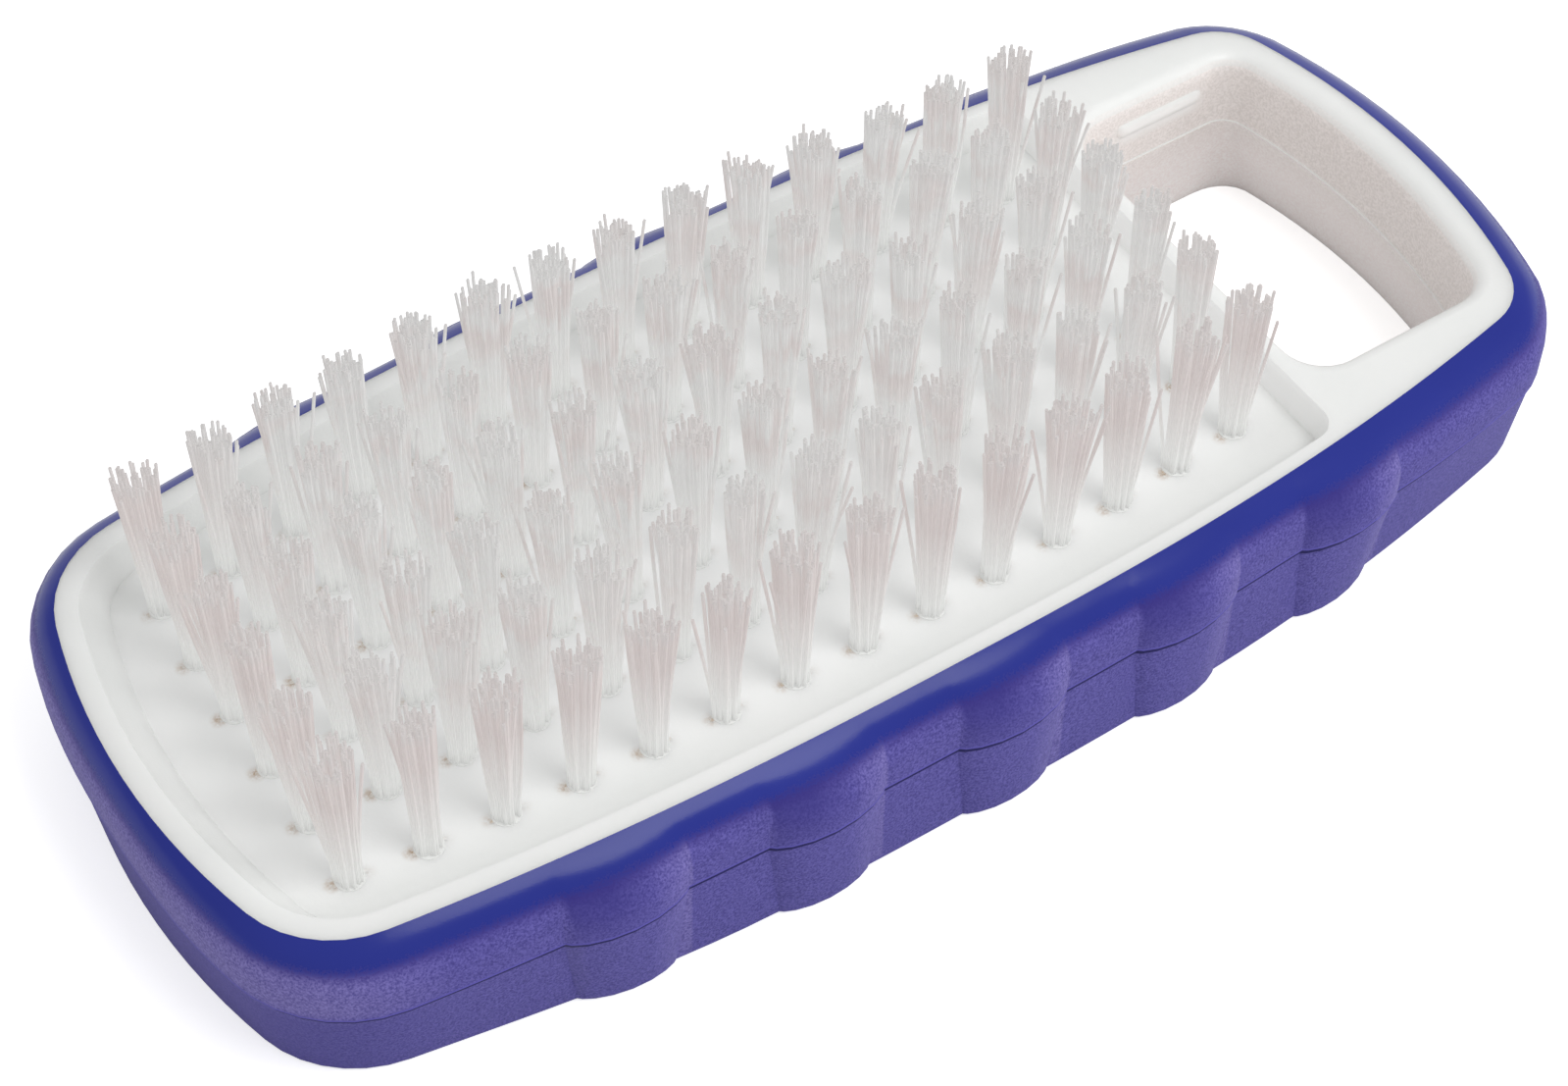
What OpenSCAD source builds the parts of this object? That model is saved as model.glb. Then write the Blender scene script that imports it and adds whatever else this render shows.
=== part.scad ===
// Nail brush: a white moulded block with a sunk tuft field and a hanging window,
// a soft grip moulded round its edge, and bristle tufts anchored in blind holes.
// The brush lies on its flat back with the bristles up, +X towards the window.

/* [Tuft field] */
// Spacing of the tuft columns along the brush
column_pitch = 6; // [5:0.1:7.5]
// Diameter of a tuft hole
hole_d = 2.2; // [1.8:0.05:2.6]
// Depth of a tuft hole below the floor of the field
hole_depth = 6.4; // [5:0.1:8]
// Height of the bristles above the floor of the field
tuft_h = 14.7; // [8:0.1:20]
// Distance from the outer tuft row to the edge of the block
row_inset = 7.1; // [6:0.1:9]
// How much further the outer row is set in at the last column
row_extra_inset = 0.6; // [0:0.1:2]
// Room from the first column to the foot of the heel slope
heel_margin = 6; // [4:0.1:9]
// Room from the last column to the step wall
step_margin = 5.2; // [3.5:0.1:8]

/* [Block] */
// Width of the white block at its widest
block_w = 48.4; // [44:0.1:56]
// Height of the block from its flat back to its rim
block_h = 16; // [15:0.1:20]
// Depth of the tuft field below the rim
field_depth = 3; // [1.5:0.1:4.5]
// Width of the rim round the heel of the field
heel_rim_w = 1.8; // [1.5:0.1:3]
// Width of the rim beside the last column
side_rim_w = 1.1; // [0.8:0.1:2.5]
// Run of the slope from the rim to the floor at the heel
heel_slope_w = 2.3; // [1:0.1:3.5]
// Run of the same slope along the sides
side_slope_w = 0.9; // [0.4:0.1:2]
// Run of the rounded top of the step wall
step_slope_w = 0.4; // [0.3:0.1:1.4]
// How far each side draws in at the heel
heel_draw = 4.2; // [2:0.1:6]
// How far each side draws in at the head
head_draw = 5.8; // [3:0.1:7]
// Radius of the bowed heel
heel_bow_r = 56; // [40:1:80]
// Radius of the bowed head
head_bow_r = 56; // [40:1:80]
// Corner radius at the heel
heel_corner_r = 9; // [5.5:0.1:10]
// Corner radius at the head
head_corner_r = 5.5; // [4:0.1:8]

/* [Window] */
// Length of the window along the brush
window_l = 19.7; // [15:0.1:26]
// Width of the window across the brush
window_w = 32.3; // [24:0.1:36]
// White band left beyond the window
head_band_w = 2.7; // [2:0.1:5]
// White web left between the window and the step wall
web_w = 2; // [1.2:0.1:4]
// Corner radius of the window on the web side
web_corner_r = 3.5; // [2.4:0.1:6]
// Corner radius of the window on the head side
window_corner_r = 3; // [2.4:0.1:6]
// Rounding of the window's upper lip
lip_r = 1.4; // [0.5:0.1:1.6]
// Taper of the window walls from each face to the mould parting
window_draft = 0.5; // [0.2:0.05:1]
// Length of the small ledge on each long wall of the window
ledge_l = 7.6; // [3:0.1:9]

/* [Grip] */
// Thickness of the soft grip along the sides of the block
grip_t = 2.85; // [2.4:0.05:3.4]
// Thickness of the grip round the head, beside the window
head_t = 3.8; // [2.8:0.1:4.5]
// How much thinner it is across the corners of the head
head_corner_trim = 0.5; // [0:0.1:1]
// Thickness of the grip at the corners of the heel
heel_corner_t = 2.3; // [1.8:0.1:3.4]
// Thickness of the grip at the middle of the heel
heel_end_t = 1.7; // [1.3:0.1:3]
// Crown radius of the grip's upper edge
crown_r = 4.4; // [3.6:0.1:5]
// Height of the parting line above the back
parting_z = 9.5; // [8.6:0.1:10.4]
// How far the upper half of the grip stands proud at the parting line
parting_step = 0.2; // [0.1:0.05:0.5]
// Thickness of the grip at its foot along the sides
side_foot_t = 2.6; // [1.6:0.1:3.2]
// Thickness of the grip at its foot round the heel
heel_foot_t = 0.8; // [0.6:0.1:1.2]
// Thickness of the grip at its foot round the head
head_foot_t = 2.2; // [0.8:0.1:3.2]
// Rounding of the grip's lower edge
grip_foot_r = 0.4; // [0.2:0.05:0.6]
// Depth of the tongue that keys the grip into the block
tongue_d = 1.2; // [0.6:0.1:2]
// Height of that tongue
tongue_h = 4; // [2:0.1:5]

/* [Finger bumps] */
// Spacing of the bumps along each side
bump_pitch = 16.4; // [14:0.1:17.5]
// Length of one bump at its foot
bump_l = 7.8; // [6:0.1:9]
// Height of one bump at its foot
bump_h = 0.95; // [0.4:0.05:1.2]
// How much longer a bump grows from its foot to the parting line
bump_gain_l = 2; // [0:0.1:4]
// How much higher it grows from its foot to the parting line
bump_gain_h = 0.35; // [0:0.05:0.8]

/* [Anchors] */
// Length of the flat wire anchor, which is longer than the hole is wide
anchor_l = 2.7; // [2.65:0.05:3.2]
// Thickness of the anchor wire
anchor_t = 0.3; // [0.2:0.05:0.4]
// Height of the anchor
anchor_h = 1.4; // [1:0.1:2]
// Distance from the bottom of the hole to the anchor
anchor_lift = 0.9; // [0.6:0.1:1.2]

/* [Hidden] */
columns = 14;
rows = 6;
bumps = 5;
$fn = 48;

// Lengths along the brush, added up from heel to head
field_l = heel_margin + column_pitch * (columns - 1) + step_margin;
block_l = heel_rim_w + heel_slope_w + field_l + web_w + window_l + head_band_w;
half_l = block_l / 2;
// The brush is centred on its whole length, with the grip, not on the block
centre_shift = (heel_end_t - head_t) / 2;
half_w = block_w / 2;
first_column_x = -half_l + heel_rim_w + heel_slope_w + heel_margin;
step_x = -half_l + heel_rim_w + heel_slope_w + field_l;
window_x = step_x + web_w;
floor_z = block_h - field_depth;
overrun = 1;

// Shares, counts and turns that shape the curves
quarter_turn = 90;
side_power = 2.45;
end_steps = 7;
corner_steps = 7;
slope_steps = 5;
flank_steps = 6;
bump_steps = 8;
gap_steps = 3;
crown_steps = 6;
foot_steps = 3;
lip_steps = 4;
bisections = 30;

// The tuft: five square strands fused to the packed root that fills the hole
strands = 5;
strand_half_w = hole_d * 0.135;
strand_ring_r = hole_d * 0.31;
tip_ring_r = hole_d * 0.6;
tip_spread = hole_d * 0.13;
tip_scatter = tuft_h * 0.045;
root_bite = hole_d * 0.25;
golden_share = 0.618034;
tip_swing = 14;

// The recess corner beside the step wall
step_corner_r = 2;
// The window ledge is a rounded bar half sunk in the wall, below the lip
ledge_r = 0.9;
ledge_proud = 0.5;
ledge_gap = 0.8;
ledge_set_in = 2.4;
ledge_drop = lip_r + ledge_gap + ledge_r;
// Where the grip thickens towards the head, and where its foot draws in at both ends
head_swell_x = half_l * 0.41;
head_full_x = half_l * 0.82;
foot_draw_x = half_l * 0.34;
foot_full_x = half_l * 0.95;
end_middle_w = half_w * 0.75;
crown_a = acos(1 - grip_t / crown_r);
tongue_z = parting_z - tongue_h / 2;
// The window steps in at the parting and widens below it, most at the head
window_step = 0.2;
window_foot_flare = 0.4;
window_head_flare = 1.6;

function numbered(stem, c) = str(stem, c < 10 ? "0" : "", c);
function mix(a, b, share) = a + (b - a) * share;
function eased(u) = let (v = min(1, max(0, u))) v * v * (3 - 2 * v);
function wobble(n) = 2 * (n * golden_share - floor(n * golden_share)) - 1;

// Side of the block: half width at a place along the brush, and its outward normal
function side_draw(x) = x < 0 ? heel_draw : head_draw;
function side_y(x) = half_w - side_draw(x) * pow(abs(x) / half_l, side_power);
function side_slope(x) =
    -sign(x) * side_draw(x) * side_power / half_l * pow(abs(x) / half_l, side_power - 1);
function side_normal(x) = [-side_slope(x), 1] / norm([side_slope(x), 1]);

// Centre of a corner arc that touches the side at x
function corner_centre(x, r) = [x, side_y(x)] - r * side_normal(x);
// Place on the side where the corner arc of radius r also touches the bowed end
function corner_x(end, bow_r, r, near, far, n = bisections) =
    n == 0 ? (near + far) / 2 :
    norm(corner_centre((near + far) / 2, r) - [end * (half_l - bow_r), 0]) > bow_r - r
        ? corner_x(end, bow_r, r, near, (near + far) / 2, n - 1)
        : corner_x(end, bow_r, r, (near + far) / 2, far, n - 1);
function angle_of(v) = atan2(v[1], v[0]);
function on_arc(c, r, a) = [c[0] + r * cos(a), c[1] + r * sin(a), cos(a), sin(a), 0];

head_x = corner_x(1, head_bow_r, head_corner_r, half_l / 2, half_l);
heel_x = corner_x(-1, heel_bow_r, heel_corner_r, -half_l / 2, -half_l);
head_c = corner_centre(head_x, head_corner_r);
heel_c = corner_centre(heel_x, heel_corner_r);
head_a = angle_of(head_c - [half_l - head_bow_r, 0]);
heel_a = angle_of(heel_c - [heel_bow_r - half_l, 0]);

// Stations along a side, for bumps of length l: place, outward normal and bump arch
bump_middle_x = bump_pitch * (bumps - 1) / 2;
function bump_share(i) = (1 - cos(180 * i / bump_steps)) / 2;
function bump_arch(i) = pow(sin(180 * i / bump_steps), 1.5);
function side_station(x, arch) =
    [x, side_y(x), side_normal(x)[0], side_normal(x)[1], arch];
function bump_station(x, i, l) = i <= bump_steps
    ? side_station(x + l * (bump_share(i) - 0.5), bump_arch(i))
    : side_station(x + mix(l / 2, bump_pitch - l / 2, (i - bump_steps) / gap_steps), 0);
function side_stations(l) = let (reach = bump_middle_x + l / 2) concat(
    [for (i = [0:flank_steps - 1]) side_station(mix(heel_x, -reach, i / flank_steps), 0)],
    [for (k = [0:bumps - 1])
        for (i = [0:bump_steps + (k < bumps - 1 ? gap_steps - 1 : 0)])
            bump_station(bump_pitch * k - bump_middle_x, i, l)],
    [for (i = [1:flank_steps]) side_station(mix(reach, head_x, i / flank_steps), 0)]);

// Stations round the whole block
function flipped(s) = [s[0], -s[1], s[2], -s[3], s[4]];
head_end = [for (i = [0:end_steps - 1])
    on_arc([half_l - head_bow_r, 0], head_bow_r, head_a * i / end_steps)];
head_corner = [for (i = [0:corner_steps - 1])
    on_arc(head_c, head_corner_r,
        mix(head_a, angle_of(side_normal(head_x)), i / corner_steps))];
heel_corner = [for (i = [1:corner_steps])
    on_arc(heel_c, heel_corner_r,
        mix(angle_of(side_normal(heel_x)), heel_a, i / corner_steps))];
heel_end = [for (i = [1:end_steps])
    on_arc([heel_bow_r - half_l, 0], heel_bow_r, mix(heel_a, 180, i / end_steps))];
function far_half(l) = let (side = side_stations(l)) concat(head_end, head_corner,
    [for (i = [len(side) - 1:-1:0]) side[i]], heel_corner, heel_end);
function stations_round(l) = let (half = far_half(l)) concat(half,
    [for (i = [len(half) - 2:-1:1]) flipped(half[i])]);
stations = stations_round(bump_l);

function set_out(s, out) = [s[0] + out * s[2], s[1] + out * s[3]];
function outline(out) = [for (s = stations) set_out(s, out)];
function ring(out, z) = [for (s = stations) [each set_out(s, out), z]];

// Outline of the recess rim: the block's outline set in, then squared off at the step
function rim_w(x) = mix(heel_rim_w, side_rim_w, (x + half_l) / (step_x + half_l));
function slope_w(s) = mix(side_slope_w, heel_slope_w, s[2] * s[2]);
step_cut_x = step_x - step_corner_r;
step_corner_y = side_y(step_cut_x) - rim_w(step_cut_x) - step_corner_r;
field_far = concat(
    [for (i = [0:corner_steps]) let (a = quarter_turn * i / corner_steps)
        [step_cut_x + step_corner_r * cos(a), step_corner_y + step_corner_r * sin(a),
         cos(a), sin(a), mix(step_slope_w, side_slope_w, i / corner_steps)]],
    [for (s = far_half(bump_l)) if (s[0] < step_cut_x - step_corner_r)
        [each set_out(s, -rim_w(s[0])), s[2], s[3], slope_w(s)]]);
field_stations = concat(field_far,
    [for (i = [len(field_far) - 2:-1:0]) flipped(field_far[i])]);
function field_ring(share, z) = [for (s = field_stations)
    [each set_out(s, -share * s[4]), z]];

// Outline of the window: straight on the web side and bowed like the head
window_half_w = window_w / 2;
window_far_x = window_x + window_l;
window_bow_c = window_far_x - head_bow_r;
window_corner_y = window_half_w - window_corner_r;
window_corner_x = window_bow_c
    + sqrt(pow(head_bow_r - window_corner_r, 2) - pow(window_corner_y, 2));
window_corner_a = angle_of([window_corner_x - window_bow_c, window_corner_y]);
window_half = concat(
    [for (i = [0:end_steps])
        on_arc([window_bow_c, 0], head_bow_r, window_corner_a * i / end_steps)],
    [for (i = [1:corner_steps])
        on_arc([window_corner_x, window_corner_y], window_corner_r,
            mix(window_corner_a, quarter_turn, i / corner_steps))],
    [for (i = [0:corner_steps])
        on_arc([window_x + web_corner_r, window_half_w - web_corner_r], web_corner_r,
            quarter_turn * (1 + i / corner_steps))]);
window_stations = concat(window_half,
    [for (i = [len(window_half) - 1:-1:1]) flipped(window_half[i])]);
function window_ring(out, z) =
    [for (s = window_stations) [each set_out(s, out), z]];
function foot_flare(s) =
    mix(window_foot_flare, s[2] > 0 ? window_head_flare : window_foot_flare, s[2] * s[2]);
function window_foot_ring(z) =
    [for (s = window_stations) [each set_out(s, foot_flare(s)), z]];
function lip_level(a) =
    [lip_r * (1 - sin(a)), block_h - lip_r * (1 - cos(a))];

// Skins: a closed band of rings that meets itself, and a stack of rings with two caps
function flat_list(lists) = [for (l = lists) for (p = l) p];
function band_faces(n, a, b) = [for (i = [0:n - 1]) let (j = (i + 1) % n)
    for (f = [[a + i, b + i, a + j], [a + j, b + i, b + j]]) f];
module band(rings) {
    n = len(rings[0]);
    m = len(rings);
    polyhedron(flat_list(rings),
        flat_list([for (k = [0:m - 1]) band_faces(n, k * n, ((k + 1) % m) * n)]));
}
module stack(rings) {
    n = len(rings[0]);
    m = len(rings);
    polyhedron(flat_list(rings), concat(
        flat_list([for (k = [0:m - 2]) band_faces(n, k * n, (k + 1) * n)]),
        [[for (i = [0:n - 1]) i]],
        [[for (i = [n - 1:-1:0]) (m - 1) * n + i]]));
}

// Places of the tufts: straight columns, rows that bow with the sides of the block
function column_x(c) = first_column_x + column_pitch * (c - 1);
function row_half_span(x) =
    side_y(x) - row_inset - row_extra_inset * max(0, x) / column_x(columns);
function row_y(x, r) = row_half_span(x) * (2 * (r - 1) / (rows - 1) - 1);
module at_tufts(c) {
    for (r = [1:rows])
        translate([column_x(c), row_y(column_x(c), r), floor_z]) children();
}

// The path of an anchor, driven down the hole until it seats
module anchor_path(top) {
    translate([-anchor_l / 2, -anchor_t / 2, anchor_lift - hole_depth])
        cube([anchor_l, anchor_t, top]);
}

// Places the parts so that the whole brush, grip and all, is centred on the origin
module centred() {
    translate([centre_shift, 0, 0]) children();
}

// White block: a slab keyed for the grip, with the sunk field, holes and window cut out
module brush_block() {
    color("white") centred() {
        difference() {
            union() {
                linear_extrude(tongue_z) polygon(outline(0));
                translate([0, 0, tongue_z])
                    linear_extrude(tongue_h) polygon(outline(-tongue_d));
                translate([0, 0, tongue_z + tongue_h])
                    linear_extrude(block_h - tongue_z - tongue_h) polygon(outline(0));
            }
            field_recess();
            window_cut();
            for (c = [1:columns]) at_tufts(c) {
                translate([0, 0, -hole_depth])
                    cylinder(h = hole_depth + overrun, d = hole_d);
                anchor_path(hole_depth - anchor_lift + overrun);
            }
        }
        for (side = [-1, 1]) window_ledge(side);
    }
}
module field_recess() {
    stack(concat(
        [for (i = [0:slope_steps]) let (u = i / slope_steps)
            field_ring(1 - eased(u), floor_z + field_depth * u)],
        [field_ring(0, block_h + overrun)]));
}
module window_cut() {
    lip = [for (i = [0:lip_steps]) lip_level(quarter_turn * (1 - i / lip_steps))];
    stack(concat(
        [window_foot_ring(-overrun),
         window_foot_ring(0),
         window_ring(-window_draft - window_step, parting_z),
         window_ring(-window_draft, parting_z)],
        [for (l = lip) window_ring(l[0], l[1])],
        [window_ring(lip_r, block_h + overrun)]));
}
module window_ledge(side) {
    y = side * (window_half_w - ledge_proud + ledge_r);
    z = block_h - ledge_drop;
    translate([window_x + web_corner_r + ledge_set_in, y, z]) {
        rotate([0, quarter_turn, 0]) cylinder(h = ledge_l, r = ledge_r);
        sphere(r = ledge_r);
        translate([ledge_l, 0, 0]) sphere(r = ledge_r);
    }
}

// Soft grip: one rubbery band round the block, its tongue in the block's groove
function middle_share(s) =
    abs(s[1]) < end_middle_w ? pow(s[2] * cos(quarter_turn * s[1] / end_middle_w), 2) : 0;
function corner_share(s) = pow(2 * s[2] * s[3], 2);
function head_share(s) = eased((s[0] - head_swell_x) / (head_full_x - head_swell_x));
function grip_size(s) = s[0] > 0
    ? mix(grip_t, head_t - head_corner_trim * corner_share(s), head_share(s))
    : mix(mix(grip_t, heel_corner_t, s[2] * s[2]), heel_end_t, middle_share(s));
function foot_size(s) = mix(side_foot_t, s[0] > 0 ? head_foot_t : heel_foot_t,
    eased((abs(s[0]) - foot_draw_x) / (foot_full_x - foot_draw_x)));

// Bumps swell from the foot to the parting line, then fade out under the crown
function bump_growth(z) = min(1, z / parting_z);
function bump_fade(z) = min(1, (block_h - z) / crown_r);
function level_stations(z) = stations_round(bump_l + bump_gain_l * bump_growth(z));
function bump_out(s, z) = s[4] * (bump_h + bump_gain_h * bump_growth(z)) * bump_fade(z);
function foot_ring(a) = let (z = grip_foot_r * (1 - sin(a))) [for (s = level_stations(z))
    [each set_out(s, foot_size(s) - grip_foot_r * (1 - cos(a)) + bump_out(s, z)), z]];
function parting_ring(step, z) = [for (s = level_stations(z))
    [each set_out(s, grip_size(s) - step + bump_out(s, z)), z]];
function crown_ring(a) = let (
    z = block_h - crown_r * (sin(crown_a) - sin(a)),
    reach_share = (cos(a) - cos(crown_a)) / (1 - cos(crown_a)))
    [for (s = level_stations(z))
        [each set_out(s, grip_size(s) * reach_share + bump_out(s, z)), z]];
module soft_grip() {
    color("mediumblue") centred() band(concat(
        [ring(0, 0)],
        [for (i = [0:foot_steps]) foot_ring(quarter_turn * (1 - i / foot_steps))],
        [parting_ring(parting_step, parting_z), parting_ring(0, parting_z + parting_step)],
        [for (i = [0:crown_steps - 1]) crown_ring(crown_a * i / crown_steps)],
        [ring(0, block_h),
         ring(0, tongue_z + tongue_h),
         ring(-tongue_d, tongue_z + tongue_h),
         ring(-tongue_d, tongue_z),
         ring(0, tongue_z)]));
}

// One strand: a square prism that leans out from its foot to its tip
module strand(foot, tip, length) {
    corners = [[-1, -1], [1, -1], [1, 1], [-1, 1]] * strand_half_w;
    band_of = concat(
        [for (k = corners) [foot[0] + k[0], foot[1] + k[1], -root_bite]],
        [for (k = corners) [tip[0] + k[0], tip[1] + k[1], length]]);
    polyhedron(band_of, concat(
        band_faces(len(corners), 0, len(corners)),
        [[0, 1, 2], [0, 2, 3], [6, 5, 4], [7, 6, 4]]));
}

// One tuft: its root fills the hole round the anchor, and its strands flare above
module tuft(n) {
    difference() {
        translate([0, 0, -hole_depth]) cylinder(h = hole_depth, d = hole_d);
        anchor_path(anchor_h);
    }
    strand([0, 0], [wobble(n) * tip_spread, wobble(n + 1) * tip_spread],
        tuft_h + tip_scatter * wobble(n + 2));
    for (k = [1:strands - 1]) {
        a = quarter_turn * k;
        reach = tip_ring_r + tip_spread * wobble(n + 3 * k);
        aim = a + tip_swing * wobble(n + 5 * k);
        strand([strand_ring_r * cos(a), strand_ring_r * sin(a)],
            [reach * cos(aim), reach * sin(aim)],
            tuft_h + tip_scatter * wobble(n + 7 * k));
    }
}
module tuft_column(c) {
    color("whitesmoke") centred() for (r = [1:rows])
        translate([column_x(c), row_y(column_x(c), r), floor_z]) tuft(rows * c + r);
}

// Flat wire anchors, each driven across a fold of bristle
module anchor_column(c) {
    color("goldenrod") centred() at_tufts(c) anchor_path(anchor_h);
}

brush_block();
soft_grip();
for (c = [1:columns]) {
    tuft_column(c);
    anchor_column(c);
}
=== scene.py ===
import math
import random

import bpy
from mathutils import Euler, Matrix, Vector


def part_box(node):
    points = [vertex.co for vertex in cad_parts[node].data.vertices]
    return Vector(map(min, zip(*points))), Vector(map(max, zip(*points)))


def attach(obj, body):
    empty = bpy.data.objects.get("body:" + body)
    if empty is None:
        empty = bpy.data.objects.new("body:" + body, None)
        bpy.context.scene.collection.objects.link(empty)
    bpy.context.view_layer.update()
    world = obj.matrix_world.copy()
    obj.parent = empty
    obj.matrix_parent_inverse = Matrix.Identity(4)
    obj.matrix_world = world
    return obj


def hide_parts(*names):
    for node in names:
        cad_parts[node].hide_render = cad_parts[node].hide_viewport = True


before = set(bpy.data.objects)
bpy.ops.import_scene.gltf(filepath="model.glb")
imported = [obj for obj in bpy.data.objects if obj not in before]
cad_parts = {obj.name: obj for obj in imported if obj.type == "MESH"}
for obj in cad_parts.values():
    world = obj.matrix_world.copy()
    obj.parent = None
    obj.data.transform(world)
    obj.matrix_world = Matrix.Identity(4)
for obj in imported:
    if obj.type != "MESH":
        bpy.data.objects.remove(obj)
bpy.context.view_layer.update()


# The camera
# It looks down on the brush from beside the heel. Its place, aim and lens come from the
# perspective of the tuft grid, and the frame is 1599 by 1107.
camera_place = Vector((-0.09733, -0.14080, 0.21150))
camera_turn = math.radians(-33.648)
camera_rise = math.radians(50.755)
camera_roll = math.radians(0.283)
camera_level = Euler((math.pi / 2 - camera_rise, 0, camera_turn)).to_matrix()
camera_aim = camera_level @ Matrix.Rotation(camera_roll, 3, "Z")
bpy.ops.object.camera_add(location=camera_place, rotation=camera_aim.to_euler())
camera = bpy.context.object
camera.data.sensor_fit = "HORIZONTAL"
camera.data.sensor_width = 36
camera.data.lens = 77.30
camera.data.clip_start = 0.01
bpy.context.scene.camera = camera


# The light and the floor
# A white paper sweep in a white room, which fades towards its ceiling where the gloss shows
# it. One softbox hangs above the near side and shows in the grip's crown, and a weaker one
# stands low beyond the head end.
white = (1, 1, 1, 1)
aim_height = 0.01
room_strength = 0.71
horizon_strength = 1
ceiling_strength = 0.25
ceiling_height = 0.2
floor_size = 4
paper_white = (0.80, 0.80, 0.80, 1)
background_glow = 0.2
camera_glow = 0.35


def add_softbox(name, place, size, power):
    toward = (Vector((0, 0, aim_height)) - Vector(place)).to_track_quat("-Z", "Y").to_euler()
    bpy.ops.object.light_add(type="AREA", location=place, rotation=toward)
    softbox = bpy.context.object
    softbox.name = name
    softbox.data.shape = "DISK"
    softbox.data.size = size
    softbox.data.energy = power
    return softbox


def add_math(nodes, links, operation, *values):
    """One Math node. Each value is a number or the output it is linked to."""
    math_node = nodes.new("ShaderNodeMath")
    math_node.operation = operation
    for socket, value in zip(math_node.inputs, values):
        if isinstance(value, (int, float)):
            socket.default_value = value
        else:
            links.new(value, socket)
    return math_node.outputs[0]


def add_range(nodes, links, value, from_low, from_high, to_low, to_high):
    """The value moved from one range to another, and held at its ends."""
    ranged = nodes.new("ShaderNodeMapRange")
    links.new(value, ranged.inputs["Value"])
    ranged.inputs["From Min"].default_value = from_low
    ranged.inputs["From Max"].default_value = from_high
    ranged.inputs["To Min"].default_value = to_low
    ranged.inputs["To Max"].default_value = to_high
    return ranged.outputs["Result"]


def split_axes(nodes, links, vector):
    axes = nodes.new("ShaderNodeSeparateXYZ")
    links.new(vector, axes.inputs[0])
    return axes.outputs["X"], axes.outputs["Y"], axes.outputs["Z"]


def add_seen_share(nodes, links):
    """1 for the rays that show the background: from the camera, in gloss and through glass."""
    ray = nodes.new("ShaderNodeLightPath")
    gloss_or_glass = add_math(nodes, links, "MAXIMUM", ray.outputs["Is Glossy Ray"],
                              ray.outputs["Is Transmission Ray"])
    return add_math(nodes, links, "MAXIMUM", ray.outputs["Is Camera Ray"], gloss_or_glass)


add_softbox("softbox_above", (0.14, -0.32, 0.632), 0.32, 1.55)
side_light = add_softbox("softbox_side", (0.55, -0.40, 0.25), 0.40, 1.1)
side_light.visible_glossy = False

world = bpy.data.worlds.new("studio")
bpy.context.scene.world = world
world.use_nodes = True
# For the render alone, the room lights by soft rays only, which the bristles let past
world.cycles.sampling_method = "NONE"
nodes = world.node_tree.nodes
links = world.node_tree.links
room = nodes["Background"]
room.inputs["Color"].default_value = white
room.inputs["Strength"].default_value = room_strength
upward = split_axes(nodes, links, nodes.new("ShaderNodeTexCoord").outputs["Generated"])[2]
faded = add_range(nodes, links, upward, 0, ceiling_height, horizon_strength, ceiling_strength)
in_gloss = nodes.new("ShaderNodeMix")
links.new(nodes.new("ShaderNodeLightPath").outputs["Is Glossy Ray"], in_gloss.inputs["Factor"])
in_gloss.inputs[2].default_value = horizon_strength
links.new(faded, in_gloss.inputs[3])
backdrop = nodes.new("ShaderNodeBackground")
backdrop.inputs["Color"].default_value = white
links.new(in_gloss.outputs[0], backdrop.inputs["Strength"])
seen_room = nodes.new("ShaderNodeMixShader")
links.new(add_seen_share(nodes, links), seen_room.inputs["Fac"])
links.new(room.outputs[0], seen_room.inputs[1])
links.new(backdrop.outputs[0], seen_room.inputs[2])
links.new(seen_room.outputs[0], nodes["World Output"].inputs["Surface"])

bpy.ops.object.select_all(action="DESELECT")
bpy.ops.mesh.primitive_plane_add(size=floor_size, location=(0, 0, 0))
floor = bpy.context.object
floor.name = "floor"
floor_paper = bpy.data.materials.new("floor_paper")
floor_paper.use_nodes = True
nodes = floor_paper.node_tree.nodes
links = floor_paper.node_tree.links
paper = nodes["Principled BSDF"]
paper.inputs["Base Color"].default_value = paper_white
paper.inputs["Roughness"].default_value = 0.95
paper.inputs["Specular IOR Level"].default_value = 0
in_camera = nodes.new("ShaderNodeLightPath").outputs["Is Camera Ray"]
glow_share = add_math(nodes, links, "MULTIPLY_ADD", add_seen_share(nodes, links), background_glow,
                      add_math(nodes, links, "MULTIPLY", in_camera, camera_glow))
glow = nodes.new("ShaderNodeEmission")
glow.inputs["Color"].default_value = white
links.new(glow_share, glow.inputs["Strength"])
lit_paper = nodes.new("ShaderNodeAddShader")
links.new(paper.outputs[0], lit_paper.inputs[0])
links.new(glow.outputs[0], lit_paper.inputs[1])
links.new(lit_paper.outputs[0], nodes["Material Output"].inputs["Surface"])
floor.data.materials.append(floor_paper)
bpy.context.scene.view_settings.view_transform = "Standard"


# The brush block
# One injection-moulded block of white plastic, with the sunk tuft field, the 84 blind holes
# and the hanging window moulded in. The window walls are grained, and beside each hole the
# anchor's end has left a tan mark. Painted light whitens the field between the tufts, the
# step wall and the lower window walls, and a painted highlight lies along each ledge.
column_count = 14
row_count = 6
tuft_pitch = 0.006
first_column_x = -0.0498
columns_half_l = tuft_pitch * (column_count - 1) / 2
row_half_step = 1 / (row_count - 1)
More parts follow.
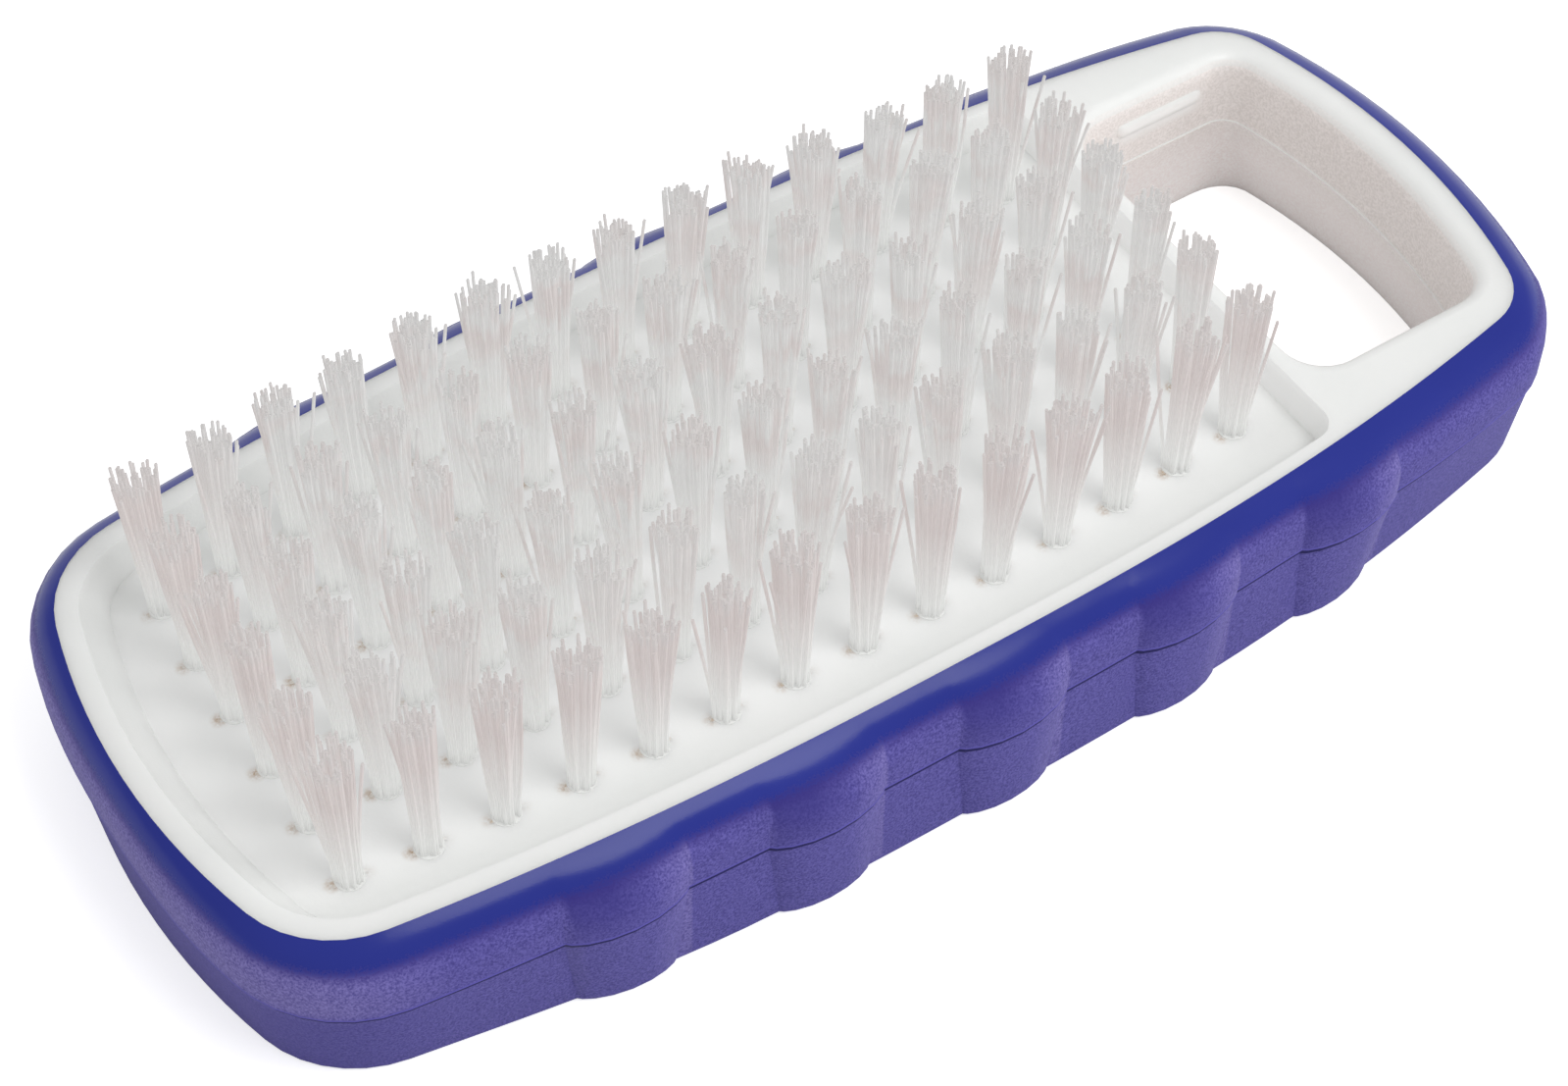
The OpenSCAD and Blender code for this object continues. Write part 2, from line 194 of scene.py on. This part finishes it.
# The outer rows bow with the sides of the block, along a parabola
widest_x = -0.00617
widest_row_y = 0.01712
row_bow = -1.382
hole_depth = 0.0064
field_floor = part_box("tuft_column_01")[0].z + hole_depth
floor_reach = 0.0001
mark_r = 0.0009
mark_core_r = 0.0001
mark_reach = 0.0013
mark_margin = 0.0025
step_wall_x = 0.0334
step_wall_reach = 0.0008
window_wall_x = (0.0338, 0.0346)
wall_parting_z = (0.0100, 0.0060)
ledge_x = 0.0450
ledge_half_l = (0.0034, 0.0052)
ledge_z = 0.0126
ledge_half_h = (0.0005, 0.0014)
face_whites = (0.80, 0.815, 0.80), (0.86, 0.86, 0.85)
lit_field_pair = (0.875, 0.885, 0.875), (0.935, 0.935, 0.925)
wall_whites = (0.78, 0.735, 0.71), (0.92, 0.87, 0.85)
lower_wall_light_pair = (0.92, 0.835, 0.82), (1.0, 0.955, 0.94)
step_light_white = (0.97, 0.965, 0.95)
ledge_highlight_white = (0.93, 0.92, 0.905)
mark_tan = (0.46, 0.29, 0.16)


def only(piece):
    bpy.ops.object.select_all(action="DESELECT")
    piece.select_set(True)
    bpy.context.view_layer.objects.active = piece


def merged_copy(node, name):
    """A copy of a CAD node with its loose triangles joined, ready for its own finish."""
    only(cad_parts[node])
    bpy.ops.object.duplicate()
    copy = bpy.context.object
    copy.name = name
    copy.data.name = name
    for key in [k for k in copy.keys() if k.startswith("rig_")]:
        del copy[key]
    bpy.ops.object.mode_set(mode="EDIT")
    bpy.ops.mesh.select_all(action="SELECT")
    bpy.ops.mesh.remove_doubles(threshold=1e-6)
    bpy.ops.object.mode_set(mode="OBJECT")
    bpy.ops.mesh.customdata_custom_splitnormals_clear()
    copy.data.materials.clear()
    return copy


def new_finish(name):
    """A new material, its nodes, links and shader, and the place on the piece."""
    finish = bpy.data.materials.new(name)
    finish.use_nodes = True
    nodes = finish.node_tree.nodes
    place = nodes.new("ShaderNodeTexCoord").outputs["Object"]
    return finish, nodes, finish.node_tree.links, nodes["Principled BSDF"], place


def add_noise(nodes, links, place, scale, detail, roughness=0.5):
    noise = nodes.new("ShaderNodeTexNoise")
    noise.inputs["Scale"].default_value = scale
    noise.inputs["Detail"].default_value = detail
    noise.inputs["Roughness"].default_value = roughness
    links.new(place, noise.inputs["Vector"])
    return noise.outputs["Fac"]


def add_blend(nodes, links, share, first, second):
    """A mix of two colours, each one written out or linked."""
    blend = nodes.new("ShaderNodeMix")
    blend.data_type = "RGBA"
    links.new(share, blend.inputs["Factor"])
    for socket, colour in ((blend.inputs[6], first), (blend.inputs[7], second)):
        if isinstance(colour, tuple):
            socket.default_value = (*colour, 1)
        else:
            links.new(colour, socket)
    return blend.outputs[2]


def add_bump(nodes, links, height, depth, strength):
    bump = nodes.new("ShaderNodeBump")
    bump.inputs["Strength"].default_value = strength
    bump.inputs["Distance"].default_value = depth
    links.new(height, bump.inputs["Height"])
    return bump.outputs["Normal"]


block = merged_copy("brush_block", "block_white")
only(block)
bpy.ops.object.shade_smooth_by_angle(angle=math.radians(35))
even_shading = block.modifiers.new("even_shading", "WEIGHTED_NORMAL")
even_shading.keep_sharp = True
even_shading.weight = 100
bpy.ops.object.modifier_apply(modifier=even_shading.name)

white_plastic, nodes, links, shader, place = new_finish("white_moulded_plastic")
at_x, at_y, at_z = split_axes(nodes, links, place)
facing = nodes.new("ShaderNodeNewGeometry").outputs["True Normal"]
facing_z = split_axes(nodes, links, facing)[2]
cloudy = add_noise(nodes, links, place, 90, 3)
grain = add_noise(nodes, links, place, 4600, 2)
face_white = add_blend(nodes, links, cloudy, *face_whites)

# How far out a place lies, where 1 is the outer row of its column
off_widest = add_math(nodes, links, "SUBTRACT", at_x, widest_x)
off_widest_squared = add_math(nodes, links, "MULTIPLY", off_widest, off_widest)
outer_row_y = add_math(nodes, links, "MULTIPLY_ADD", off_widest_squared, row_bow, widest_row_y)
across = add_math(nodes, links, "DIVIDE", at_y, outer_row_y)
off_long_axis = add_math(nodes, links, "ABSOLUTE", across)

# Painted light: the floor between the tufts is whiter than the rim, lifting the tufts' shade
on_floor = add_math(nodes, links, "COMPARE", at_z, field_floor, floor_reach)
between_rows = add_range(nodes, links, off_long_axis, 0.95, 1.15, 1, 0)
between_tufts = add_math(nodes, links, "MULTIPLY", on_floor, between_rows)
lit_field_white = add_blend(nodes, links, cloudy, *lit_field_pair)
face_white = add_blend(nodes, links, between_tufts, face_white, lit_field_white)

# The tan marks, one strong and one faint beside each hole
off_row = add_math(nodes, links, "WRAP", add_math(nodes, links, "ADD", across, 1),
                   row_half_step, -row_half_step)
mark_y = add_math(nodes, links, "MULTIPLY", outer_row_y, off_row)
in_rows = add_math(nodes, links, "LESS_THAN", off_long_axis, 1.1)
in_columns = add_math(nodes, links, "COMPARE", at_x, first_column_x + columns_half_l,
                      columns_half_l + mark_margin)
in_field = add_math(nodes, links, "MULTIPLY", on_floor, in_rows)
in_field = add_math(nodes, links, "MULTIPLY", in_field, in_columns)
speckled = add_noise(nodes, links, place, 3400, 4, 0.7)
patchy = add_noise(nodes, links, place, 170, 1)
uneven = add_math(nodes, links, "MULTIPLY", add_range(nodes, links, speckled, 0.35, 0.6, 0.15, 1),
                  add_range(nodes, links, patchy, 0.4, 0.6, 0.45, 1))
for reach, strength in ((mark_reach, 1), (-mark_reach, 0.35)):
    mark_x = add_math(nodes, links, "WRAP",
                      add_math(nodes, links, "ADD", at_x, reach - first_column_x),
                      tuft_pitch / 2, -tuft_pitch / 2)
    mark_y_squared = add_math(nodes, links, "MULTIPLY", mark_y, mark_y)
    off_mark_squared = add_math(nodes, links, "MULTIPLY_ADD", mark_x, mark_x, mark_y_squared)
    off_mark = add_math(nodes, links, "SQRT", off_mark_squared)
    stain = add_range(nodes, links, off_mark, mark_core_r, mark_r, strength, 0)
    stain = add_math(nodes, links, "POWER", stain, 1.6)
    stain = add_math(nodes, links, "MULTIPLY", stain, uneven)
    stain = add_math(nodes, links, "MULTIPLY", stain, in_field)
    face_white = add_blend(nodes, links, stain, face_white, mark_tan)

# The step wall, and the grained window walls with their parting and their ledges
level = add_math(nodes, links, "ABSOLUTE", facing_z)
steep_share = add_range(nodes, links, level, 0.15, 0.75, 1, 0)
# Painted light makes the step wall paler
at_step = add_math(nodes, links, "COMPARE", at_x, step_wall_x, step_wall_reach)
step_light_share = add_math(nodes, links, "MULTIPLY", steep_share, at_step)
face_white = add_blend(nodes, links, step_light_share, face_white, step_light_white)
wall_share = add_math(nodes, links, "MULTIPLY", steep_share,
                      add_range(nodes, links, at_x, *window_wall_x, 0, 1))
# A painted highlight along each ledge
off_ledge_x, off_ledge_z = [
    add_math(nodes, links, "ABSOLUTE", add_math(nodes, links, "SUBTRACT", along, middle))
    for along, middle in ((at_x, ledge_x), (at_z, ledge_z))]
ledge_highlight_share = add_math(nodes, links, "MULTIPLY",
                       add_range(nodes, links, off_ledge_x, *ledge_half_l, 1, 0),
                       add_range(nodes, links, off_ledge_z, *ledge_half_h, 1, 0))
grain_share = add_range(nodes, links, grain, 0.35, 0.65, 0, 1)
wall_white = add_blend(nodes, links, grain_share, *wall_whites)
lower_wall_light_white = add_blend(nodes, links, grain_share, *lower_wall_light_pair)
# Painted light makes the window walls paler and pinker below their parting
lower_wall_light_share = add_range(nodes, links, at_z, *wall_parting_z, 0, 1)
wall_white = add_blend(nodes, links, lower_wall_light_share, wall_white, lower_wall_light_white)
wall_white = add_blend(nodes, links, ledge_highlight_share, wall_white, ledge_highlight_white)

links.new(add_blend(nodes, links, wall_share, face_white, wall_white),
          shader.inputs["Base Color"])
links.new(add_range(nodes, links, cloudy, 0.3, 0.7, 0.34, 0.46), shader.inputs["Roughness"])
links.new(add_bump(nodes, links, grain, 0.00004, 0.35), shader.inputs["Normal"])
shader.inputs["Subsurface Weight"].default_value = 0.5
shader.inputs["Subsurface Radius"].default_value = (1, 1, 1)
shader.inputs["Subsurface Scale"].default_value = 0.0025
block.data.materials.append(white_plastic)
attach(block, "root")
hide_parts("brush_block")


# The soft grip
# A band of indigo soft-touch rubber moulded round the block's edge, with five finger bumps
# on each long side, a polished crown, and a grained wall parted at mid-height. Painted shade
# darkens each bump's heel-side shoulder, the lower heel wall and the wall under the crown, and
# a painted reflection of the floor lightens each bump's head-side end and the upper heel wall.
bump_pitch = 0.0164
bumps_middle_x = -0.0010
bumps_reach = 0.0385
bumps_fade = 0.001
crown_edge_z = (0.0148, 0.0154)
crown_ragged = 0.0012
crown_foot_shade_z = (0.0136, 0.0146)
heel_x = (-0.047, -0.056)
wall_blues = (0.056, 0.047, 0.235), (0.126, 0.108, 0.400)
floor_reflection_pair = (0.120, 0.100, 0.330), (0.290, 0.250, 0.560)
crown_blues = (0.019, 0.028, 0.225), (0.026, 0.037, 0.275)
shoulder_shade_blue = (0.034, 0.027, 0.205)
heel_shade_blue = (0.040, 0.030, 0.240)
crown_foot_shade_blue = (0.030, 0.020, 0.200)
parting_shade_and_highlight = (0.0093, (0.006, 0.004, 0.09)), (0.0097, (0.10, 0.085, 0.40))
parting_line_reach = 0.0002

grip = merged_copy("soft_grip", "grip_indigo")
only(grip)
bpy.ops.object.mode_set(mode="EDIT")
bpy.ops.mesh.select_all(action="SELECT")
bpy.ops.mesh.tris_convert_to_quads(face_threshold=math.radians(50),
                                   shape_threshold=math.radians(80))
bpy.ops.object.mode_set(mode="OBJECT")
bpy.ops.object.shade_smooth_by_angle(angle=math.radians(32))

indigo_rubber, nodes, links, shader, place = new_finish("indigo_soft_rubber")
at_x, _, at_z = split_axes(nodes, links, place)
grain = add_noise(nodes, links, place, 5200, 2, 0.6)
cloudy = add_noise(nodes, links, place, 70, 3)
ragged_z = add_math(nodes, links, "MULTIPLY_ADD", grain, crown_ragged, at_z)
crown_share = add_range(nodes, links, ragged_z, *crown_edge_z, 0, 1)
grain_share = add_range(nodes, links, grain, 0.35, 0.65, 0, 1)
wall_blue = add_blend(nodes, links, grain_share, *wall_blues)
floor_reflection_blue = add_blend(nodes, links, grain_share, *floor_reflection_pair)

# Painted shade on each bump's heel-side shoulder and the lower heel, and a painted reflection
# on each bump's head-side end and the upper heel
from_middle = add_math(nodes, links, "SUBTRACT", at_x, bumps_middle_x)
bump_x = add_math(nodes, links, "WRAP", from_middle, bump_pitch / 2, -bump_pitch / 2)
on_bumps = add_range(nodes, links, add_math(nodes, links, "ABSOLUTE", from_middle),
                     bumps_reach, bumps_reach + bumps_fade, 1, 0)
shoulder_shade_share, end_share = [
    add_math(nodes, links, "MULTIPLY", on_bumps,
             add_math(nodes, links, "MULTIPLY", add_range(nodes, links, bump_x, *rises, 0, 1),
                      add_range(nodes, links, bump_x, *falls, 1, 0)))
    for rises, falls in (((-0.0050, -0.0045), (-0.0016, 0.0024)),
                         ((0.0014, 0.0046), (0.0049, 0.0051)))]
heel_share = add_range(nodes, links, at_x, *heel_x, 0, 1)
for along_share, z_none, z_full, share, shade_and_reflection_blue in (
        (shoulder_shade_share, 0.0085, 0.0142, 0.85, shoulder_shade_blue),
        (end_share, 0, 0.001, 0.45, floor_reflection_blue),
        (heel_share, 0.0094, 0.0106, 0.55, floor_reflection_blue),
        (heel_share, 0.0096, 0.0084, 0.45, heel_shade_blue)):
    shade_and_reflection_share = add_math(nodes, links, "MULTIPLY", along_share,
                          add_range(nodes, links, at_z, z_none, z_full, 0, share))
    wall_blue = add_blend(nodes, links, shade_and_reflection_share, wall_blue, shade_and_reflection_blue)
# Painted shade in a band just under the crown
crown_foot_shade_share = add_range(nodes, links, at_z, *crown_foot_shade_z, 0, 0.8)
wall_blue = add_blend(nodes, links, crown_foot_shade_share, wall_blue, crown_foot_shade_blue)
# The parting line as a painted shade line with a painted highlight just above it
for painted_line_z, painted_line_blue in parting_shade_and_highlight:
    painted_line_share = add_math(nodes, links, "COMPARE", at_z, painted_line_z, parting_line_reach)
    wall_blue = add_blend(nodes, links, painted_line_share, wall_blue, painted_line_blue)
crown_blue = add_blend(nodes, links, cloudy, *crown_blues)

links.new(add_blend(nodes, links, crown_share, wall_blue, crown_blue),
          shader.inputs["Base Color"])
links.new(add_range(nodes, links, crown_share, 0, 1, 0.60, 0.20), shader.inputs["Roughness"])
shader.inputs["Specular IOR Level"].default_value = 0.2
grain_height = add_math(nodes, links, "MULTIPLY", grain,
                        add_range(nodes, links, crown_share, 0, 1, 1, 0.12))
links.new(add_bump(nodes, links, grain_height, 0.00006, 0.5), shader.inputs["Normal"])
grip.data.materials.append(indigo_rubber)
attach(grip, "root")
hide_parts("soft_grip")


# The bristle tufts
# 84 tufts of nylon filament about 0.35 mm thick, in 14 columns of 6, each folded over its
# anchor in a 2.2 mm hole and trimmed to a ragged top. The filaments made here are thinner,
# about twice as many, and overlap, so that no dark gaps show between them.
strands_per_tuft = 58
strand_r = 0.00014
strand_sides = 5
hole_r = 0.0011
tuft_rise = 0.0147
root_drop = 0.0022
root_rise = 0.00007
root_h = 0.0003
root_r = hole_r + 0.00005
root_tone = 0.8
anchor_wire_t = 0.0003
golden_turn = math.pi * (3 - math.sqrt(5))
lean_scatter = 0.00022
flare_range = (1.40, 1.95)
turn_scatter = 0.3
stray_chance = 0.07
stray_range = (0.0005, 0.0014)
tip_scatter = 0.00016
bow_scatter = 0.00009
trim_range = (-0.0009, 0.0006)
curve_power = 1.25
strand_whites = (0.76, 0.755, 0.745), (0.83, 0.825, 0.815)
strand_pinks = (0.70, 0.61, 0.595), (0.78, 0.70, 0.685)
lit_foot_white = (0.95, 0.955, 0.94)
tip_white = (0.70, 0.685, 0.68)
root_whites = (0.74, 0.75, 0.73), (0.86, 0.87, 0.85)
near_rows_y = (-0.009, -0.015)
heel_columns_x = (-0.041, -0.049)
light_through = 0.55


def taken_shape(piece):
    """The points and faces of a modelled piece, which is then removed."""
    points = [v.co + piece.matrix_world.translation for v in piece.data.vertices]
    faces = [tuple(p.vertices) for p in piece.data.polygons]
    bpy.data.objects.remove(piece)
    return points, faces


def tuft_feet(column):
    """X and Y of the middles of a column's tufts, which are those of its anchors."""
    anchor_low, anchor_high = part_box(f"anchor_column_{column:02d}")
    middle_x = (anchor_low.x + anchor_high.x) / 2
    outer_y = (anchor_high.y - anchor_low.y - anchor_wire_t) / 2
    return [(middle_x, outer_y * (2 * row / (row_count - 1) - 1)) for row in range(row_count)]


def new_piece(name, points, faces, attribute, values):
    """A new piece from its points and faces, with a value for each point."""
    mesh = bpy.data.meshes.new(name)
    mesh.from_pydata(points, [], faces)
    mesh.attributes.new(attribute, "FLOAT", "POINT").data.foreach_set("value", values)
    piece = bpy.data.objects.new(name, mesh)
    bpy.context.scene.collection.objects.link(piece)
    return piece


def read_attribute(nodes, name):
    attribute = nodes.new("ShaderNodeAttribute")
    attribute.attribute_name = name
    return attribute.outputs["Fac"]


bpy.ops.object.select_all(action="DESELECT")
bpy.ops.mesh.primitive_cylinder_add(vertices=strand_sides, radius=strand_r, depth=1,
                                    location=(0, 0, 0.5))
bpy.ops.object.mode_set(mode="EDIT")
for cut in (0.25, 0.5, 0.75):
    bpy.ops.mesh.select_all(action="SELECT")
    bpy.ops.mesh.bisect(plane_co=(0, 0, cut), plane_no=(0, 0, 1))
bpy.ops.object.mode_set(mode="OBJECT")
strand_points, strand_faces = taken_shape(bpy.context.object)

bpy.ops.object.select_all(action="DESELECT")
bpy.ops.mesh.primitive_cylinder_add(vertices=24, radius=root_r, depth=root_h,
                                    location=(0, 0, root_rise - root_h / 2))
root_points, root_faces = taken_shape(bpy.context.object)


def bristle_tuft(foot_middle, dice):
    """Points and faces of one tuft with its packed root, and a tone for each point."""
    points, faces, tones = [], [], []
    lean = Vector((dice.gauss(0, lean_scatter), dice.gauss(0, lean_scatter)))
    flare = dice.uniform(*flare_range)
    for n in range(strands_per_tuft):
        spread = math.sqrt((n + 0.5) / strands_per_tuft)
        turn = n * golden_turn + dice.uniform(-turn_scatter, turn_scatter)
        foot = Vector((math.cos(turn), math.sin(turn))) * (hole_r - strand_r) * spread
        stray = dice.uniform(*stray_range) if dice.random() < stray_chance else 0
        tip = foot * flare + lean + foot.normalized() * stray
        tip += Vector((dice.gauss(0, tip_scatter), dice.gauss(0, tip_scatter)))
        bow = Vector((dice.gauss(0, bow_scatter), dice.gauss(0, bow_scatter)))
        top = tuft_rise + dice.uniform(*trim_range) - stray * 0.5
        start = len(points)
        for point in strand_points:
            up = point.z * (top + root_drop) - root_drop
            along = max(0, up / top)
            middle = foot.lerp(tip, along ** curve_power) + bow * math.sin(math.pi * along)
            points.append(foot_middle + Vector((middle.x + point.x, middle.y + point.y, up)))
        faces += [tuple(start + corner for corner in face) for face in strand_faces]
        tones += [dice.random()] * len(strand_points)
    faces += [tuple(len(points) + corner for corner in face) for face in root_faces]
    points += [foot_middle + point for point in root_points]
    tones += [root_tone] * len(root_points)
    return points, faces, tones


# Painted light makes it paler at its foot, where the white floor shines through; it is greyer
# at its cut tips, and rosy in patches and on the outer tufts of the near side and the heel
nylon, nodes, links, shader, place = new_finish("nylon_filament")
at_x, at_y, at_z = split_axes(nodes, links, place)
tone = read_attribute(nodes, "strand_tone")
strand_white = add_blend(nodes, links, tone, *strand_whites)
strand_pink = add_blend(nodes, links, tone, *strand_pinks)
patches = add_range(nodes, links, add_noise(nodes, links, place, 240, 2), 0.42, 0.6, 0, 0.6)
outer_tufts = add_math(nodes, links, "MAXIMUM",
                       add_range(nodes, links, at_y, *near_rows_y, 0, 0.8),
                       add_range(nodes, links, at_x, *heel_columns_x, 0, 0.8))
rosy = add_math(nodes, links, "MAXIMUM", patches, outer_tufts)
strand_white = add_blend(nodes, links, rosy, strand_white, strand_pink)
for z_none, z_full, share, end_white in (
        (0.0105, 0.0015, 1, lit_foot_white),
        (tuft_rise - 0.0016, tuft_rise - 0.0003, 0.5, tip_white)):
    end_share = add_range(nodes, links, at_z, field_floor + z_none, field_floor + z_full,
                          0, share)
    strand_white = add_blend(nodes, links, end_share, strand_white, end_white)
links.new(strand_white, shader.inputs["Base Color"])
links.new(add_range(nodes, links, tone, 0, 1, 0.36, 0.50), shader.inputs["Roughness"])
shader.inputs["Specular IOR Level"].default_value = 0.2
through = nodes.new("ShaderNodeBsdfTranslucent")
links.new(strand_white, through.inputs["Color"])
nylon_mix = nodes.new("ShaderNodeMixShader")
nylon_mix.inputs["Fac"].default_value = light_through
links.new(shader.outputs[0], nylon_mix.inputs[1])
links.new(through.outputs[0], nylon_mix.inputs[2])
links.new(nylon_mix.outputs[0], nodes["Material Output"].inputs["Surface"])

packed_nylon, nodes, links, shader, place = new_finish("packed_nylon_root")
links.new(add_blend(nodes, links, add_noise(nodes, links, place, 4000, 2), *root_whites),
          shader.inputs["Base Color"])
shader.inputs["Roughness"].default_value = 0.5

for column in range(1, column_count + 1):
    dice = random.Random(100 + column)
    points, faces, tones = [], [], []
    for x, y in tuft_feet(column):
        tuft_points, tuft_faces, tuft_tones = bristle_tuft(Vector((x, y, field_floor)), dice)
        faces += [tuple(len(points) + corner for corner in face) for face in tuft_faces]
        points += tuft_points
        tones += tuft_tones
    bristles = new_piece(f"bristles_{column:02d}", points, faces, "strand_tone", tones)
    bristles.data.materials.append(nylon)
    bristles.data.materials.append(packed_nylon)
    nylon_faces = [0] * strands_per_tuft * len(strand_faces)
    tuft_finishes = nylon_faces + [1] * len(root_faces)
    bristles.data.polygons.foreach_set("material_index", tuft_finishes * row_count)
    only(bristles)
    bpy.ops.object.shade_smooth_by_angle(angle=math.radians(75))
    # For the render alone, the room's soft light skips the bristles, which look too dark
    # without this, while the softboxes still cast their shadow
    bristles.visible_diffuse = False
    bristles.visible_transmission = False
    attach(bristles, "root")
    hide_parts(f"tuft_column_{column:02d}")


# The tuft anchors
# 84 flat brass wires, each driven down its hole over the fold of a tuft, where they stay
# hidden. The white plastic is taken to have closed over both ends of each, in a small scar
# that is stained on the heel side.
brass_browns = (0.55, 0.38, 0.16), (0.72, 0.55, 0.28)
scar_r = 0.00026
scar_rise = 0.00006
scar_sink = 0.00002
scar_reach = 0.00126
scar_ragged = (0.8, 1.1)
rim_stain = 0.45
scar_browns = (0.81, 0.815, 0.80), (0.48, 0.32, 0.18)

brass_wire, nodes, links, shader, place = new_finish("drawn_brass_wire")
draw_marks = add_noise(nodes, links, place, 1800, 3)
links.new(add_blend(nodes, links, draw_marks, *brass_browns), shader.inputs["Base Color"])
links.new(add_range(nodes, links, draw_marks, 0.3, 0.7, 0.25, 0.4), shader.inputs["Roughness"])
shader.inputs["Metallic"].default_value = 1
for column in range(1, column_count + 1):
    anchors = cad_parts[f"anchor_column_{column:02d}"]
    anchors.data.materials.clear()
    anchors.data.materials.append(brass_wire)

bpy.ops.object.select_all(action="DESELECT")
bpy.ops.mesh.primitive_circle_add(vertices=10, radius=scar_r, fill_type="TRIFAN")
scar_points, scar_faces = taken_shape(bpy.context.object)
dice = random.Random(7)
points, faces, stains = [], [], []
for column in range(1, column_count + 1):
    for x, y in tuft_feet(column):
        for side in (-1, 1):
            middle = Vector((x + side * scar_reach, y, field_floor))
            stain = dice.uniform(0.4, 1) if side < 0 else dice.uniform(0, 0.3)
            faces += [tuple(len(points) + corner for corner in face) for face in scar_faces]
            for p in scar_points:
                inward = 1 - min(1, p.length / scar_r)
                lift = Vector((0, 0, scar_rise * inward - scar_sink))
                points.append(middle + p * dice.uniform(*scar_ragged) + lift)
                stains.append(stain * (rim_stain + (1 - rim_stain) * inward))
scars = new_piece("anchor_scars", points, faces, "stain", stains)
only(scars)
bpy.ops.object.shade_smooth()

scarred_plastic, nodes, links, shader, place = new_finish("stained_closed_plastic")
speck = add_noise(nodes, links, place, 6000, 3)
stain_share = add_math(nodes, links, "MULTIPLY", read_attribute(nodes, "stain"),
                       add_range(nodes, links, speck, 0.35, 0.6, 0.4, 1))
links.new(add_blend(nodes, links, stain_share, *scar_browns), shader.inputs["Base Color"])
links.new(add_range(nodes, links, speck, 0.3, 0.7, 0.45, 0.65), shader.inputs["Roughness"])
scars.data.materials.append(scarred_plastic)
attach(scars, "root")
